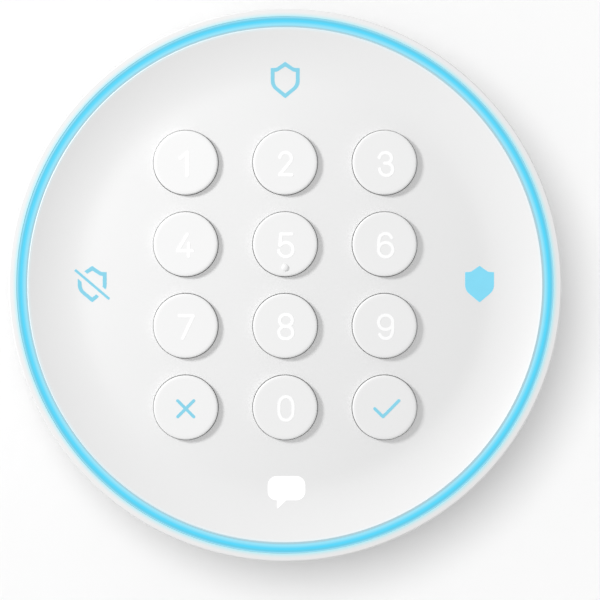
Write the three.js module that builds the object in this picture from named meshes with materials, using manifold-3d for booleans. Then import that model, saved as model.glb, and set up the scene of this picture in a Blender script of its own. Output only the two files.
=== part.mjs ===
// Round alarm keypad: a dished face with twelve push keys and a light ring, on a twist-off wall plate.
// Millimetres, +Z out of the face, +Y towards the top of the keypad, origin at the centre of the foot.
import * as THREE from "three";
import { mergeVertices } from "three/addons/utils/BufferGeometryUtils.js";
import Module from "manifold-3d";

const wasm = await Module();
wasm.setup();

// ---------------------------------------------------------------- driving dimensions

const BIG_SEGMENTS = 36; // facets round the casing
const KEY_SEGMENTS = 16; // facets round a key
const SMALL_SEGMENTS = 8; // facets round a screw or a pin

const CASE_R = 45; // casing at its shoulder
const CASE_FOOT_R = 43.85; // casing just above its lower edge
const CASE_FOOT_Z = 3.4;
const CASE_FOOT_CHAMFER = [0.8, 1]; // its width and height
const CASE_TOP_Z = 27.2;
const CASE_BORE_R = 42.6; // inside of the casing wall
const SHOULDER_H = 1.7; // height of the rounded shoulder
const SHOULDER_W = 1.15; // its width, from the side wall to the light ring's slot
const RING_GAP = 0.15; // between the light ring and the wall of its slot
const SLOT_EDGE_Z = 27.1; // casing beside the light ring
const LEDGE_Z = 24.1; // seat of the light ring

const RING_OUT_R = 43.65;
const RING_IN_R = 42.15;
const RING_FOOT_OUT_R = 42.35;
const RING_FOOT_IN_R = 40.4;
const RING_FOOT_Z = [22.4, 23.8];
const RING_SEAT_GAP = 0.1;

const FACE_R = 41.9;
const FACE_UNDER_Z = 24;
const MOAT_R = 33; // lowest circle of the face
const MOAT_Z = 25;
const DOME_RISE = 1.5; // middle of the face above the moat
const LIP_RISE = 2; // edge of the face above the moat
const LIP_POWER = 1.8; // how the lip steepens towards its edge
const FACE_STEPS = [39.6, 37.2, 35, MOAT_R, 22, 11]; // radii where the face's outline has a point
const FACE_EDGE = 0.3; // break on its outer edge

const KEY_R = 5.25;
const KEY_PITCH_X = 16.2;
const KEY_PITCH_Y = 13.3;
const KEY_PROUD = 0.9; // key top above the face round it
const KEY_HOLE_R = KEY_R + 0.2;
const KEY_FLANGE_R = 6.1;
const KEY_FLANGE_Z = [23.1, 23.9];
const KEY_POST_R = 1.4;
const KEY_POST_Z = 22.7;
const KEY_WALL = 1.2;
const KEYS = [
  ["key_1", -1, 1.5],
  ["key_2", 0, 1.5],
  ["key_3", 1, 1.5],
  ["key_4", -1, 0.5],
  ["key_5", 0, 0.5],
  ["key_6", 1, 0.5],
  ["key_7", -1, -0.5],
  ["key_8", 0, -0.5],
  ["key_9", 1, -0.5],
  ["key_cancel", -1, -1.5],
  ["key_0", 0, -1.5],
  ["key_enter", 1, -1.5],
]; // name, column, row

const MARK_RADIUS_X = 31.6; // mode marks left and right
const MARK_RADIUS_Y = 33.3; // mode marks above and below
const MARKS = [
  ["mark_guide_home", 0, MARK_RADIUS_Y],
  ["mark_guide_away", MARK_RADIUS_X, 0],
  ["mark_guide_off", -MARK_RADIUS_X, 0],
  ["mark_guide_status", 0, -MARK_RADIUS_Y],
];

const GUIDE = { width: 7, length: 7.4, corner: 1, z: [20.9, 23.9] }; // light guide under a mode mark

const BOARD_Z = [19, 20.6];
const BOARD_R = 41.8;
const MAT_Z = [20.7, 21.3];
const MAT = { width: 44.6, length: 52.4, corner: 4 };
const MAT_DOME = { footR: 4.2, topR: 2.3, footZ: 20.8, topZ: 22.6 };
const LAMP = { count: 12, width: 1.4, length: 2.6, z: [20.8, 21.9] };
const LED_STRIP = { r: [40.4, 42.25], z: [20.7, 21.1] };

const COVER_Z = [CASE_FOOT_Z, 5.4];
const COVER_R = 42.25;
const WELL_R = 29.2; // bayonet well in the rear cover
const WELL_WALL = 1.6;
const WELL_CEILING_Z = [8, 9.4];

const PLATE_Z = [0.5, 2.5];
const PLATE_R = 39.5;
const PLATE_EDGE = 0.4;
const WALL_SLOT = { width: 3.8, length: 8, corner: 1.89, at: 15, angles: [0, 90, 180, 270] };
const FOOT_RING_R = [35, 38.6];
const FOOT_RING_Z = [0, 1.2];
const FOOT_GROOVE_Z = 1.4;
const FOOT_GROOVE_GAP = 0.15;
const COLLAR_R = [24, 26];
const COLLAR_TOP_Z = 6.4;
const BAYONET_COUNT = 3;
const LUG = { r: [25.6, 28.8], z: [5, 6.2], degrees: 26 };
const LEDGE = { r: [26.4, 29.8], z: [CASE_FOOT_Z, 4.7], degrees: 30 };

const CASE_SCREW_R = 37.2; // pitch radius of the four long screws
const CASE_SCREW_ANGLES = [45, 135, 225, 315];
const CASE_SCREW = { headR: 2.4, headZ: [3.6, 4.6], shankR: 1.2, tipZ: 23.4 };
const CASE_SCREW_HOLE = { headR: 2.7, headTo: 4.7, coverR: 1.6, columnR: 1.5, boardR: 1.7, bossR: 1.4 };
const BOARD_SCREW_AT = [26.5, 12];
const BOARD_SCREW = { headR: 2, headZ: [17.4, 18.8], shankR: 0.9, tipZ: 23.4 };
const BOARD_SCREW_HOLE = { boardR: 1.3, bossR: 1.1 };
const SCREW_POINT = 0.5; // height of a screw's cone
const CASE_BOSS_R = 2.6;
const BOARD_BOSS_R = 2.2;
const BOSS_Z = [20.9, 24.2];
const BORE_Z = [20.8, 23.6];
const COLUMN = { r: 2.8, webAt: 41, webWidth: 4, webLength: 2.4, z: [5.8, 18.7] }; // in the casing

const TAMPER_R = 33;
const TAMPER_ANGLE = 215;
const TAMPER_GUIDE = { r: 2.4, z: [5, 8.4], boreR: 1.5 }; // tube in the rear cover
const TAMPER_POCKET = { halfWidth: 1.4, depth: 1.3, fromDegrees: 2.6, toDegrees: 33.5 };
const TAMPER_SWITCH = { size: 5, z: [14.6, 18.8] };
const PLUNGER = { z: [2.8, 14.3], footR: 1.2, flangeR: 2, flangeZ: [9.9, 10.7], tipR: 1.1 };
const SPRING = { r: 1.6, wireR: 0.2, turns: 4, stepsPerTurn: 9, z: [10.9, 14.3] };

const SPEAKER_SLOT = { count: 11, stepDegrees: 4.6, at: 43.8, depth: 4, width: 1.3, z: [7.5, 14] };
const SPEAKER_AT = [0, -20];
const SPEAKER_SEGMENTS = 20;
const BASKET_RIM = { inR: 14.6, outR: 17.6, z: [9.9, 11.3] };
const BASKET_CUP = { shoulderR: 16.4, backR: 10.6, insideR: 10.2, mouthZ: 11.2, z: [14.4, 15] };
const CONE = { capR: 3.4, edgeR: 13.8, rimR: 14.3, capZ: 12.2, foldZ: 13.1, rimZ: 10.3 };
const CONE_WALL = { cap: 0.6, rim: 0.4, fold: 0.2 };
const MAGNET = { r: 8.4, z: [15.2, 17.9] };
const SIREN = { at: [32, 0], r: 6.6, z: [10, 18.7] };
const BATTERY = { at: [0, 18], width: 44, length: 28, corner: 3, z: [10, 17.6] };
const BATTERY_PAD = { width: 36, length: 20, corner: 1, z: [9.5, 9.9] };
const RADIO = { at: [-32, 0], width: 12, length: 14, z: [16.4, 18.8] };

const BATTERY_LEAD = [[-22.3, 21, 13], [-25, 21, 13.2], [-28, 19.5, 15.5], [-28.5, 18.5, 18.7]];
const BATTERY_LEAD_R = 0.8;
const SPEAKER_LEAD = [[15.5, -26, 14.5], [19, -25, 14.5], [23, -20, 16], [23.5, -18.5, 18.7]];
const SPEAKER_LEAD_R = 0.6;

const SOCKET = { width: 9, height: 3.2, corner: 1.59, depth: 7.3, mouthY: 43.4, z: 17.2 };
const SOCKET_MOUTH = { width: 8.4, height: 2.6, corner: 1.29, from: 0.8 };
const SOCKET_TONGUE = { width: 6.6, height: 0.7, corner: 0.3, along: [0.5, 6.3] };
const SOCKET_OPENING = { width: 10, height: 4, corner: 1.9, y: [41, 47] };

const RESET_ANGLE = 72;
const RESET_Z = 15.9;
const RESET_HOLE = { r: 1.9, from: 40.5, to: 47 };
const RESET = { flangeR: 2.6, stemR: 1.6, from: 40.1, flangeTo: 41, to: 44.2 };
const RESET_SWITCH = { at: 37.4, size: 4, z: [13.9, 18.7] };

// ---------------------------------------------------------------- colours

function plastic(color, roughness = 0.5) {
  return new THREE.MeshStandardMaterial({ color, roughness, metalness: 0 });
}

function metal(color, roughness = 0.35) {
  return new THREE.MeshStandardMaterial({ color, roughness, metalness: 1 });
}

const casingWhite = plastic(0xf2f2f2, 0.45);
const keyWhite = plastic(0xf7f7f7, 0.4);
const plateGrey = plastic(0xd9dadb, 0.6);
const diffuserCyan = plastic(0x52d5fb, 0.3);
const markCyan = plastic(0x7edcf6, 0.4);
const markWhite = plastic(0xffffff, 0.4);
const silicone = plastic(0xdfe4e6, 0.7);
const rubber = plastic(0x6f7376, 0.85);
const boardGreen = plastic(0x1f5a3c, 0.4);
const blackPlastic = plastic(0x1c1d1f, 0.6);
const batteryWrap = plastic(0x2b5fa3, 0.35);
const coneGrey = plastic(0x3a3b3d, 0.8);
const foamGrey = plastic(0x4a4b4d, 0.95);
const leadRed = plastic(0xb3261e, 0.5);
const screwSteel = metal(0xb9bcc0);
const shieldSteel = metal(0xcfd2d4, 0.3);
const magnetSteel = metal(0x8d9093, 0.4);

// ---------------------------------------------------------------- shape helpers

const WELD = 1e-3;
const rad = THREE.MathUtils.degToRad;

/** The point at a radius and an angle in degrees. */
function polar(radius, degrees) {
  return [radius * Math.cos(rad(degrees)), radius * Math.sin(rad(degrees))];
}

/** An outline of [radius, z] points turned about Z: it starts and ends on the axis, or is closed here. */
function turned(outline, segments) {
  const points = outline.map(([r, z]) => new THREE.Vector2(r, z));
  if (THREE.ShapeUtils.area(points) < 0) points.reverse();
  if (points[0].x > 0) points.push(points[0].clone());
  return new THREE.LatheGeometry(points, segments).rotateX(Math.PI / 2);
}

/** A plain ring or, with no inner radius, a disc. */
function ring(inner, outer, [low, high], segments) {
  return turned([[inner, low], [outer, low], [outer, high], [inner, high]], segments);
}

function cylinder(radius, [low, high], segments = SMALL_SEGMENTS) {
  return turned([[0, low], [radius, low], [radius, high], [0, high]], segments);
}

/** The same cylinder at each of several places. */
function posts(radius, heights, places, segments = SMALL_SEGMENTS) {
  return places.map(([x, y]) => cylinder(radius, heights, segments).translate(x, y, 0));
}

/** Heights that reach a millimetre past both faces of a piece, for a tool that cuts through it. */
function pastBoth([low, high]) {
  return [low - 1, high + 1];
}

/** A flat shape raised from one height to another. */
function raised(shape, [low, high], curveSegments = 4) {
  const settings = { depth: high - low, bevelEnabled: false, curveSegments };
  return new THREE.ExtrudeGeometry(shape, settings).translate(0, 0, low);
}

function block(width, length, [low, high]) {
  return new THREE.BoxGeometry(width, length, high - low).translate(0, 0, (low + high) / 2);
}

function roundedRectangle(width, length, radius) {
  const [x, y] = [width / 2 - radius, length / 2 - radius];
  const shape = new THREE.Shape();
  shape.absarc(x, y, radius, 0, rad(90));
  shape.absarc(-x, y, radius, rad(90), rad(180));
  shape.absarc(-x, -y, radius, rad(180), rad(270));
  shape.absarc(x, -y, radius, rad(270), rad(360));
  return shape;
}

/** A flat box with rounded corners. */
function slab({ width, length, corner, z }, curveSegments = 4) {
  return raised(roundedRectangle(width, length, corner), z, curveSegments);
}

/** A flat shape with rounded corners that stands upright and runs along Y. */
function slabAlongY({ width, height, corner }, [from, to]) {
  return raised(roundedRectangle(width, height, corner), [from, to], 3).rotateX(rad(-90));
}

/** A ring's sector between two radii, centred on an angle. */
function sector(inner, outer, [from, to], heights) {
  const shape = new THREE.Shape();
  shape.absarc(0, 0, outer, rad(from), rad(to));
  shape.absarc(0, 0, inner, rad(to), rad(from), true);
  return raised(shape, heights, 5);
}

function solidOf(geometry) {
  const bare = new THREE.BufferGeometry();
  bare.setAttribute("position", geometry.getAttribute("position"));
  bare.setIndex(geometry.index);
  const merged = mergeVertices(bare, WELD);
  const vertProperties = merged.attributes.position.array;
  const triVerts = new Uint32Array(merged.index.array);
  return new wasm.Manifold(new wasm.Mesh({ numProp: 3, vertProperties, triVerts }));
}

function geometryOf(solid) {
  const { vertProperties, triVerts } = solid.getMesh();
  const geometry = new THREE.BufferGeometry();
  geometry.setAttribute("position", new THREE.BufferAttribute(vertProperties, 3));
  geometry.setIndex(new THREE.BufferAttribute(triVerts, 1));
  geometry.computeVertexNormals();
  return geometry;
}

function join(...geometries) {
  return geometryOf(geometries.map(solidOf).reduce((all, next) => all.add(next)));
}

function cut(geometry, ...tools) {
  const start = solidOf(geometry);
  return geometryOf(tools.map(solidOf).reduce((rest, tool) => rest.subtract(tool), start));
}

const keypad = new THREE.Group();

/** Names a piece and puts it in the keypad, turned about Z by an angle in degrees. */
function place(name, geometry, material, [x, y] = [0, 0], degrees = 0) {
  const mesh = new THREE.Mesh(geometry, material);
  mesh.name = name;
  mesh.position.set(x, y, 0);
  mesh.rotation.z = rad(degrees);
  keypad.add(mesh);
  return mesh;
}

const caseScrewPlaces = CASE_SCREW_ANGLES.map((angle) => polar(CASE_SCREW_R, angle));
const boardScrewPlaces = [1, -1].flatMap((sx) =>
  [1, -1].map((sy) => [sx * BOARD_SCREW_AT[0], sy * BOARD_SCREW_AT[1]]),
);
const keyPlaces = KEYS.map(([, column, row]) => [column * KEY_PITCH_X, row * KEY_PITCH_Y]);
const tamperPlace = polar(TAMPER_R, TAMPER_ANGLE);

// ---------------------------------------------------------------- face

/** Height of the dished face: a low dome inside the moat and a lip that steepens outside it. */
function faceHeight(radius) {
  if (radius <= MOAT_R) return MOAT_Z + DOME_RISE * (1 - (radius / MOAT_R) ** 2);
  return MOAT_Z + LIP_RISE * ((radius - MOAT_R) / (FACE_R - MOAT_R)) ** LIP_POWER;
}

function facePanel() {
  const rim = [FACE_R, faceHeight(FACE_R) - FACE_EDGE];
  const dish = [FACE_R - FACE_EDGE, ...FACE_STEPS, 0].map((r) => [r, faceHeight(r)]);
  const panel = turned([[0, FACE_UNDER_Z], [FACE_R, FACE_UNDER_Z], rim, ...dish], BIG_SEGMENTS);
  const bosses = [
    ...posts(CASE_BOSS_R, BOSS_Z, caseScrewPlaces),
    ...posts(BOARD_BOSS_R, BOSS_Z, boardScrewPlaces),
  ];
  const bores = [
    ...posts(CASE_SCREW_HOLE.bossR, BORE_Z, caseScrewPlaces),
    ...posts(BOARD_SCREW_HOLE.bossR, BORE_Z, boardScrewPlaces),
  ];
  const holes = posts(KEY_HOLE_R, pastBoth([FACE_UNDER_Z, CASE_TOP_Z]), keyPlaces, KEY_SEGMENTS);
  return cut(join(panel, ...bosses), ...bores, ...holes);
}

function lightRing() {
  const crest = CASE_TOP_Z;
  const [low, high] = RING_FOOT_Z;
  return turned(
    [
      [RING_IN_R, high],
      [RING_IN_R, crest],
      [RING_OUT_R, crest],
      [RING_OUT_R, LEDGE_Z + RING_SEAT_GAP],
      [RING_FOOT_OUT_R, LEDGE_Z + RING_SEAT_GAP],
      [RING_FOOT_OUT_R, low],
      [RING_FOOT_IN_R, low],
      [RING_FOOT_IN_R, high],
    ],
    BIG_SEGMENTS,
  );
}

/** A key cap: hollow below, with a post for the mat and a flange that holds it in. */
function keyCap(x, y) {
  const top = faceHeight(Math.hypot(x, y)) + KEY_PROUD;
  const ceiling = top - KEY_WALL;
  const inside = KEY_R - KEY_WALL;
  return turned(
    [
      [0, KEY_POST_Z],
      [KEY_POST_R, KEY_POST_Z],
      [KEY_POST_R, ceiling],
      [inside, ceiling],
      [inside, KEY_FLANGE_Z[0]],
      [KEY_FLANGE_R, KEY_FLANGE_Z[0]],
      [KEY_FLANGE_R, KEY_FLANGE_Z[1]],
      [KEY_R, KEY_FLANGE_Z[1]],
      [KEY_R, top],
      [0, top],
    ],
    KEY_SEGMENTS,
  );
}

/** The sheet under the keys, with a dome under each post. */
function keyMat() {
  const sheet = raised(roundedRectangle(MAT.width, MAT.length, MAT.corner), MAT_Z);
  const { footR, topR, footZ, topZ } = MAT_DOME;
  const outline = [[0, footZ], [footR, footZ], [footR, MAT_Z[1]], [topR, topZ], [0, topZ]];
  const domes = keyPlaces.map(([x, y]) => turned(outline, SMALL_SEGMENTS).translate(x, y, 0));
  return join(sheet, ...domes);
}

// ---------------------------------------------------------------- casing

function outerShell() {
  const shoulder = [0, 30, 60, 90].map((degrees) => [
    CASE_R - SHOULDER_W + SHOULDER_W * Math.cos(rad(degrees)),
    CASE_TOP_Z - SHOULDER_H + SHOULDER_H * Math.sin(rad(degrees)),
  ]);
  const wall = turned(
    [
      [CASE_BORE_R, CASE_FOOT_Z],
      [CASE_FOOT_R - CASE_FOOT_CHAMFER[0], CASE_FOOT_Z],
      [CASE_FOOT_R, CASE_FOOT_Z + CASE_FOOT_CHAMFER[1]],
      ...shoulder,
      [RING_OUT_R + RING_GAP, SLOT_EDGE_Z],
      [RING_OUT_R + RING_GAP, LEDGE_Z],
      [CASE_BORE_R, LEDGE_Z],
    ],
    BIG_SEGMENTS,
  );
  const { r, webAt, webWidth, webLength, z } = COLUMN;
  const columns = CASE_SCREW_ANGLES.flatMap((angle) => [
    cylinder(r, z).translate(CASE_SCREW_R, 0, 0).rotateZ(rad(angle)),
    block(webWidth, webLength, z).translate(webAt, 0, 0).rotateZ(rad(angle)),
  ]);
  const bores = posts(CASE_SCREW_HOLE.columnR, pastBoth(z), caseScrewPlaces);
  return cut(join(wall, ...columns), ...bores, ...speakerSlots(), socketOpening(), resetHole());
}

function speakerSlots() {
  const { count, stepDegrees, at, depth, width, z } = SPEAKER_SLOT;
  return Array.from({ length: count }, (_, i) => {
    const angle = -90 + (i - (count - 1) / 2) * stepDegrees;
    return block(depth, width, z).translate(at, 0, 0).rotateZ(rad(angle));
  });
}

function socketOpening() {
  return slabAlongY(SOCKET_OPENING, SOCKET_OPENING.y).translate(0, 0, SOCKET.z);
}

/** Something round that points outwards at an angle, from one radius to another. */
function radialRod(outline, degrees, z) {
  return turned(outline, SMALL_SEGMENTS).rotateY(rad(90)).rotateZ(rad(degrees)).translate(0, 0, z);
}

function resetHole() {
  const { r, from, to } = RESET_HOLE;
  const outline = [[0, from], [r, from], [r, to], [0, to]];
  return radialRod(outline, RESET_ANGLE, RESET_Z);
}

function resetButton() {
  const { flangeR, stemR, from, flangeTo, to } = RESET;
  const flange = [[0, from], [flangeR, from], [flangeR, flangeTo]];
  const stem = [[stemR, flangeTo], [stemR, to], [0, to]];
  return radialRod([...flange, ...stem], RESET_ANGLE, RESET_Z);
}

function rearCover() {
  const pan = turned(
    [
      [0, WELL_CEILING_Z[0]],
      [WELL_R, WELL_CEILING_Z[0]],
      [WELL_R, COVER_Z[0]],
      [COVER_R, COVER_Z[0]],
      [COVER_R, COVER_Z[1]],
      [WELL_R + WELL_WALL, COVER_Z[1]],
      [WELL_R + WELL_WALL, WELL_CEILING_Z[1]],
      [0, WELL_CEILING_Z[1]],
    ],
    BIG_SEGMENTS,
  );
  const ledges = bayonetArcs(LEDGE.degrees).map((arc) => sector(...LEDGE.r, arc, LEDGE.z));
  const guide = posts(TAMPER_GUIDE.r, TAMPER_GUIDE.z, [tamperPlace]);
  const holes = [
    ...posts(TAMPER_GUIDE.boreR, pastBoth([COVER_Z[0], TAMPER_GUIDE.z[1]]), [tamperPlace]),
    ...posts(CASE_SCREW_HOLE.coverR, pastBoth(COVER_Z), caseScrewPlaces),
    ...posts(CASE_SCREW_HOLE.headR, [COVER_Z[0] - 1, CASE_SCREW_HOLE.headTo], caseScrewPlaces),
  ];
  return cut(join(pan, ...ledges, ...guide), ...holes);
}

function bayonetArcs(degrees) {
  return Array.from({ length: BAYONET_COUNT }, (_, i) => {
    const middle = 90 + (i * 360) / BAYONET_COUNT;
    return [middle - degrees / 2, middle + degrees / 2];
  });
}

// ---------------------------------------------------------------- wall plate

function wallPlate() {
  const groove = [FOOT_RING_R[0] - FOOT_GROOVE_GAP, FOOT_RING_R[1] + FOOT_GROOVE_GAP];
  const disc = turned(
    [
      [0, PLATE_Z[0]],
      [groove[0], PLATE_Z[0]],
      [groove[0], FOOT_GROOVE_Z],
      [groove[1], FOOT_GROOVE_Z],
      [groove[1], PLATE_Z[0]],
      [PLATE_R - PLATE_EDGE, PLATE_Z[0]],
      [PLATE_R, PLATE_Z[0] + PLATE_EDGE],
      [PLATE_R, PLATE_Z[1]],
      [COLLAR_R[1], PLATE_Z[1]],
      [COLLAR_R[1], COLLAR_TOP_Z],
      [COLLAR_R[0], COLLAR_TOP_Z],
      [COLLAR_R[0], PLATE_Z[1]],
      [0, PLATE_Z[1]],
    ],
    BIG_SEGMENTS,
  );
  const lugs = bayonetArcs(LUG.degrees).map((arc) => sector(...LUG.r, arc, LUG.z));
  const { width, length, corner, at, angles } = WALL_SLOT;
  const screwSlots = angles.map((angle) =>
    raised(roundedRectangle(width, length, corner), pastBoth(PLATE_Z), 3)
      .translate(at, 0, 0)
      .rotateZ(rad(angle)),
  );
  const { halfWidth, depth, fromDegrees, toDegrees } = TAMPER_POCKET;
  const tamperPocket = sector(
    TAMPER_R - halfWidth,
    TAMPER_R + halfWidth,
    [TAMPER_ANGLE + fromDegrees, TAMPER_ANGLE + toDegrees],
    [PLATE_Z[1] - depth, PLATE_Z[1] + 1],
  );
  return cut(join(disc, ...lugs), ...screwSlots, tamperPocket);
}

// ---------------------------------------------------------------- boards and what they carry

function mainBoard() {
  const holes = [
    ...posts(CASE_SCREW_HOLE.boardR, pastBoth(BOARD_Z), caseScrewPlaces),
    ...posts(BOARD_SCREW_HOLE.boardR, pastBoth(BOARD_Z), boardScrewPlaces),
  ];
  return cut(cylinder(BOARD_R, BOARD_Z, BIG_SEGMENTS), ...holes);
}

/** The flexible strip under the light ring, with its lamps soldered on. */
function ledStrip() {
  const middle = (RING_FOOT_IN_R + RING_FOOT_OUT_R) / 2;
  const lamps = Array.from({ length: LAMP.count }, (_, i) =>
    block(LAMP.width, LAMP.length, LAMP.z)
      .translate(middle, 0, 0)
      .rotateZ((i * 2 * Math.PI) / LAMP.count),
  );
  const strip = ring(...LED_STRIP.r, LED_STRIP.z, BIG_SEGMENTS / 2);
  return join(strip, ...lamps);
}

function screw({ headR, headZ, shankR, tipZ }) {
  const head = [[0, headZ[0]], [headR, headZ[0]], [headR, headZ[1]]];
  const shank = [[shankR, headZ[1]], [shankR, tipZ - SCREW_POINT], [0, tipZ]];
  return turned([...head, ...shank], SMALL_SEGMENTS);
}

function speakerBasket() {
  const { inR, outR, z } = BASKET_RIM;
  const { shoulderR, backR, insideR, mouthZ, z: cupZ } = BASKET_CUP;
  const outside = [[inR, z[0]], [outR, z[0]], [outR, z[1]], [shoulderR, z[1]], [backR, cupZ[1]]];
  const inside = [[0, cupZ[1]], [0, cupZ[0]], [insideR, cupZ[0]], [inR, mouthZ]];
  return turned([...outside, ...inside], SPEAKER_SEGMENTS);
}

/** A paper cone that opens downwards, with a low cap in its middle. */
function speakerCone() {
  const { capR, edgeR, rimR, capZ, foldZ, rimZ } = CONE;
  const { cap, rim, fold } = CONE_WALL;
  const below = [[0, capZ], [capR, foldZ], [edgeR, rimZ], [rimR, rimZ]];
  const above = [[rimR, rimZ + rim], [capR + fold, foldZ + cap], [0, capZ + cap]];
  return turned([...below, ...above], SPEAKER_SEGMENTS);
}

/** A socket shell with a rounded mouth, a back wall and a contact tongue, pointing along +Y. */
function powerSocket() {
  const { depth, mouthY, z } = SOCKET;
  const body = slabAlongY(SOCKET, [0, depth]);
  const mouth = slabAlongY(SOCKET_MOUTH, [SOCKET_MOUTH.from, depth + 1]);
  const tongue = slabAlongY(SOCKET_TONGUE, SOCKET_TONGUE.along);
  return join(cut(body, mouth), tongue).translate(0, mouthY - depth, z);
}

/** A wire that bends through a few points, with a round section. */
function lead(points, radius) {
  const route = new THREE.CatmullRomCurve3(points.map((p) => new THREE.Vector3(...p)));
  const section = new THREE.Shape().absarc(0, 0, radius, 0, 2 * Math.PI);
  return new THREE.ExtrudeGeometry(section, { extrudePath: route, steps: 10, curveSegments: 4 });
}

class Helix extends THREE.Curve {
  constructor(radius, [low, high], turns) {
    super();
    Object.assign(this, { radius, low, high, turns });
  }

  getPoint(t, target = new THREE.Vector3()) {
    const angle = 2 * Math.PI * this.turns * t;
    const z = this.low + (this.high - this.low) * t;
    return target.set(this.radius * Math.cos(angle), this.radius * Math.sin(angle), z);
  }
}

function tamperSpring() {
  const { r, wireR, turns, stepsPerTurn, z } = SPRING;
  const section = new THREE.Shape().absarc(0, 0, wireR, 0, 2 * Math.PI);
  const extrudePath = new Helix(r, [z[0] + wireR, z[1] - wireR], turns);
  const steps = turns * stepsPerTurn;
  return new THREE.ExtrudeGeometry(section, { extrudePath, steps, curveSegments: 3 });
}

function tamperPlunger() {
  const { z, footR, flangeR, flangeZ, tipR } = PLUNGER;
  const foot = [[0, z[0]], [footR, z[0]], [footR, flangeZ[0]]];
  const flange = [[flangeR, flangeZ[0]], [flangeR, flangeZ[1]]];
  const tip = [[tipR, flangeZ[1]], [tipR, z[1]], [0, z[1]]];
  return turned([...foot, ...flange, ...tip], SMALL_SEGMENTS);
}

// ---------------------------------------------------------------- the assembly

place("wall_plate", wallPlate(), plateGrey);
place("foot_ring", ring(...FOOT_RING_R, FOOT_RING_Z, BIG_SEGMENTS), rubber);

place("outer_shell", outerShell(), casingWhite);
place("rear_cover", rearCover(), casingWhite);
place("face_panel", facePanel(), casingWhite);
place("light_ring", lightRing(), diffuserCyan);
place("key_mat", keyMat(), silicone);
KEYS.forEach(([name], i) => place(name, keyCap(...keyPlaces[i]), keyWhite, keyPlaces[i]));
MARKS.forEach(([name, x, y]) => {
  place(name, slab(GUIDE, 3), name === "mark_guide_status" ? markWhite : markCyan, [x, y]);
});

place("main_board", mainBoard(), boardGreen);
place("led_strip", ledStrip(), boardGreen);
caseScrewPlaces.forEach((p, i) => place(`case_screw_${i + 1}`, screw(CASE_SCREW), screwSteel, p));
boardScrewPlaces.forEach((p, i) => place(`board_screw_${i + 1}`, screw(BOARD_SCREW), screwSteel, p));

place("speaker_basket", speakerBasket(), blackPlastic, SPEAKER_AT);
place("speaker_cone", speakerCone(), coneGrey, SPEAKER_AT);
place("speaker_magnet", cylinder(MAGNET.r, MAGNET.z, SPEAKER_SEGMENTS), magnetSteel, SPEAKER_AT);
place("siren", cylinder(SIREN.r, SIREN.z, SPEAKER_SEGMENTS), blackPlastic, SIREN.at);
place("backup_battery", slab(BATTERY), batteryWrap, BATTERY.at);
place("battery_pad", slab(BATTERY_PAD), foamGrey, BATTERY.at);
place("radio_module", block(RADIO.width, RADIO.length, RADIO.z), shieldSteel, RADIO.at);
place("power_socket", powerSocket(), shieldSteel);
const resetSwitch = block(RESET_SWITCH.size, RESET_SWITCH.size, RESET_SWITCH.z);
place("reset_switch", resetSwitch, blackPlastic, polar(RESET_SWITCH.at, RESET_ANGLE), RESET_ANGLE);
place("reset_button", resetButton(), keyWhite);
const tamperSwitch = block(TAMPER_SWITCH.size, TAMPER_SWITCH.size, TAMPER_SWITCH.z);
place("tamper_switch", tamperSwitch, blackPlastic, tamperPlace);
place("tamper_spring", tamperSpring(), screwSteel, tamperPlace);
place("tamper_plunger", tamperPlunger(), keyWhite, tamperPlace);
place("battery_lead", lead(BATTERY_LEAD, BATTERY_LEAD_R), leadRed);
place("speaker_lead", lead(SPEAKER_LEAD, SPEAKER_LEAD_R), leadRed);

export default keypad;
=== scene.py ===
from math import cos, hypot, radians, sin, tan, tau

import bmesh
import bpy
from mathutils import Matrix, Vector


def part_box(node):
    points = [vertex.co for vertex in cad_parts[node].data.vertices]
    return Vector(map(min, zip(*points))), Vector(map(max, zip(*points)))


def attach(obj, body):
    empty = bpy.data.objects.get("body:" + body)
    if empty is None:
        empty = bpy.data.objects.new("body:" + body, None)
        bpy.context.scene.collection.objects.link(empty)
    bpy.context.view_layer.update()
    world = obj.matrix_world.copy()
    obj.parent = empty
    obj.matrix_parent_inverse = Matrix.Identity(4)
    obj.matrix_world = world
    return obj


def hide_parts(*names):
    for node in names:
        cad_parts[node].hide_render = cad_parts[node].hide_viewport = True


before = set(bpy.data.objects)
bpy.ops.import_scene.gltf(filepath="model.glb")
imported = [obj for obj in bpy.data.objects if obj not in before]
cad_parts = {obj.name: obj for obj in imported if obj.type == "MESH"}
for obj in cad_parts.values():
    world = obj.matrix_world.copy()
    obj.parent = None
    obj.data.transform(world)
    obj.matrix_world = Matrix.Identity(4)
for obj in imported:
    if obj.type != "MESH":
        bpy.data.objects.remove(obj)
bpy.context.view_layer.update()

MM = 0.001

# ---------------------------------------------------------------- sizes taken from the frame


def box_mm(node):
    low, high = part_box(node)
    return low / MM, high / MM


def centre_mm(node):
    low, high = box_mm(node)
    return (low + high) / 2


SHELL_LOW, SHELL_HIGH = box_mm("outer_shell")
FOOT_LOW, FOOT_HIGH = box_mm("foot_ring")
CASE_R = SHELL_HIGH.x
CASE_TOP = SHELL_HIGH.z
CASE_FOOT = SHELL_LOW.z
RING_OUT_R = box_mm("light_ring")[1].x
FACE_R = box_mm("face_panel")[1].x
COVER_R = box_mm("rear_cover")[1].x
CASE_SCREWS = [centre_mm(f"case_screw_{number}") for number in range(1, 5)]
BOARD_SCREWS = [centre_mm(f"board_screw_{number}") for number in range(1, 5)]
TAMPER = centre_mm("tamper_plunger")
RESET_Z = centre_mm("reset_button").z
SOCKET_Z = centre_mm("power_socket").z
ALL_KEYS = [f"key_{name}" for name in (*range(10), "cancel", "enter")]

# ---------------------------------------------------------------- driving sizes, in millimetres and degrees

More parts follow.
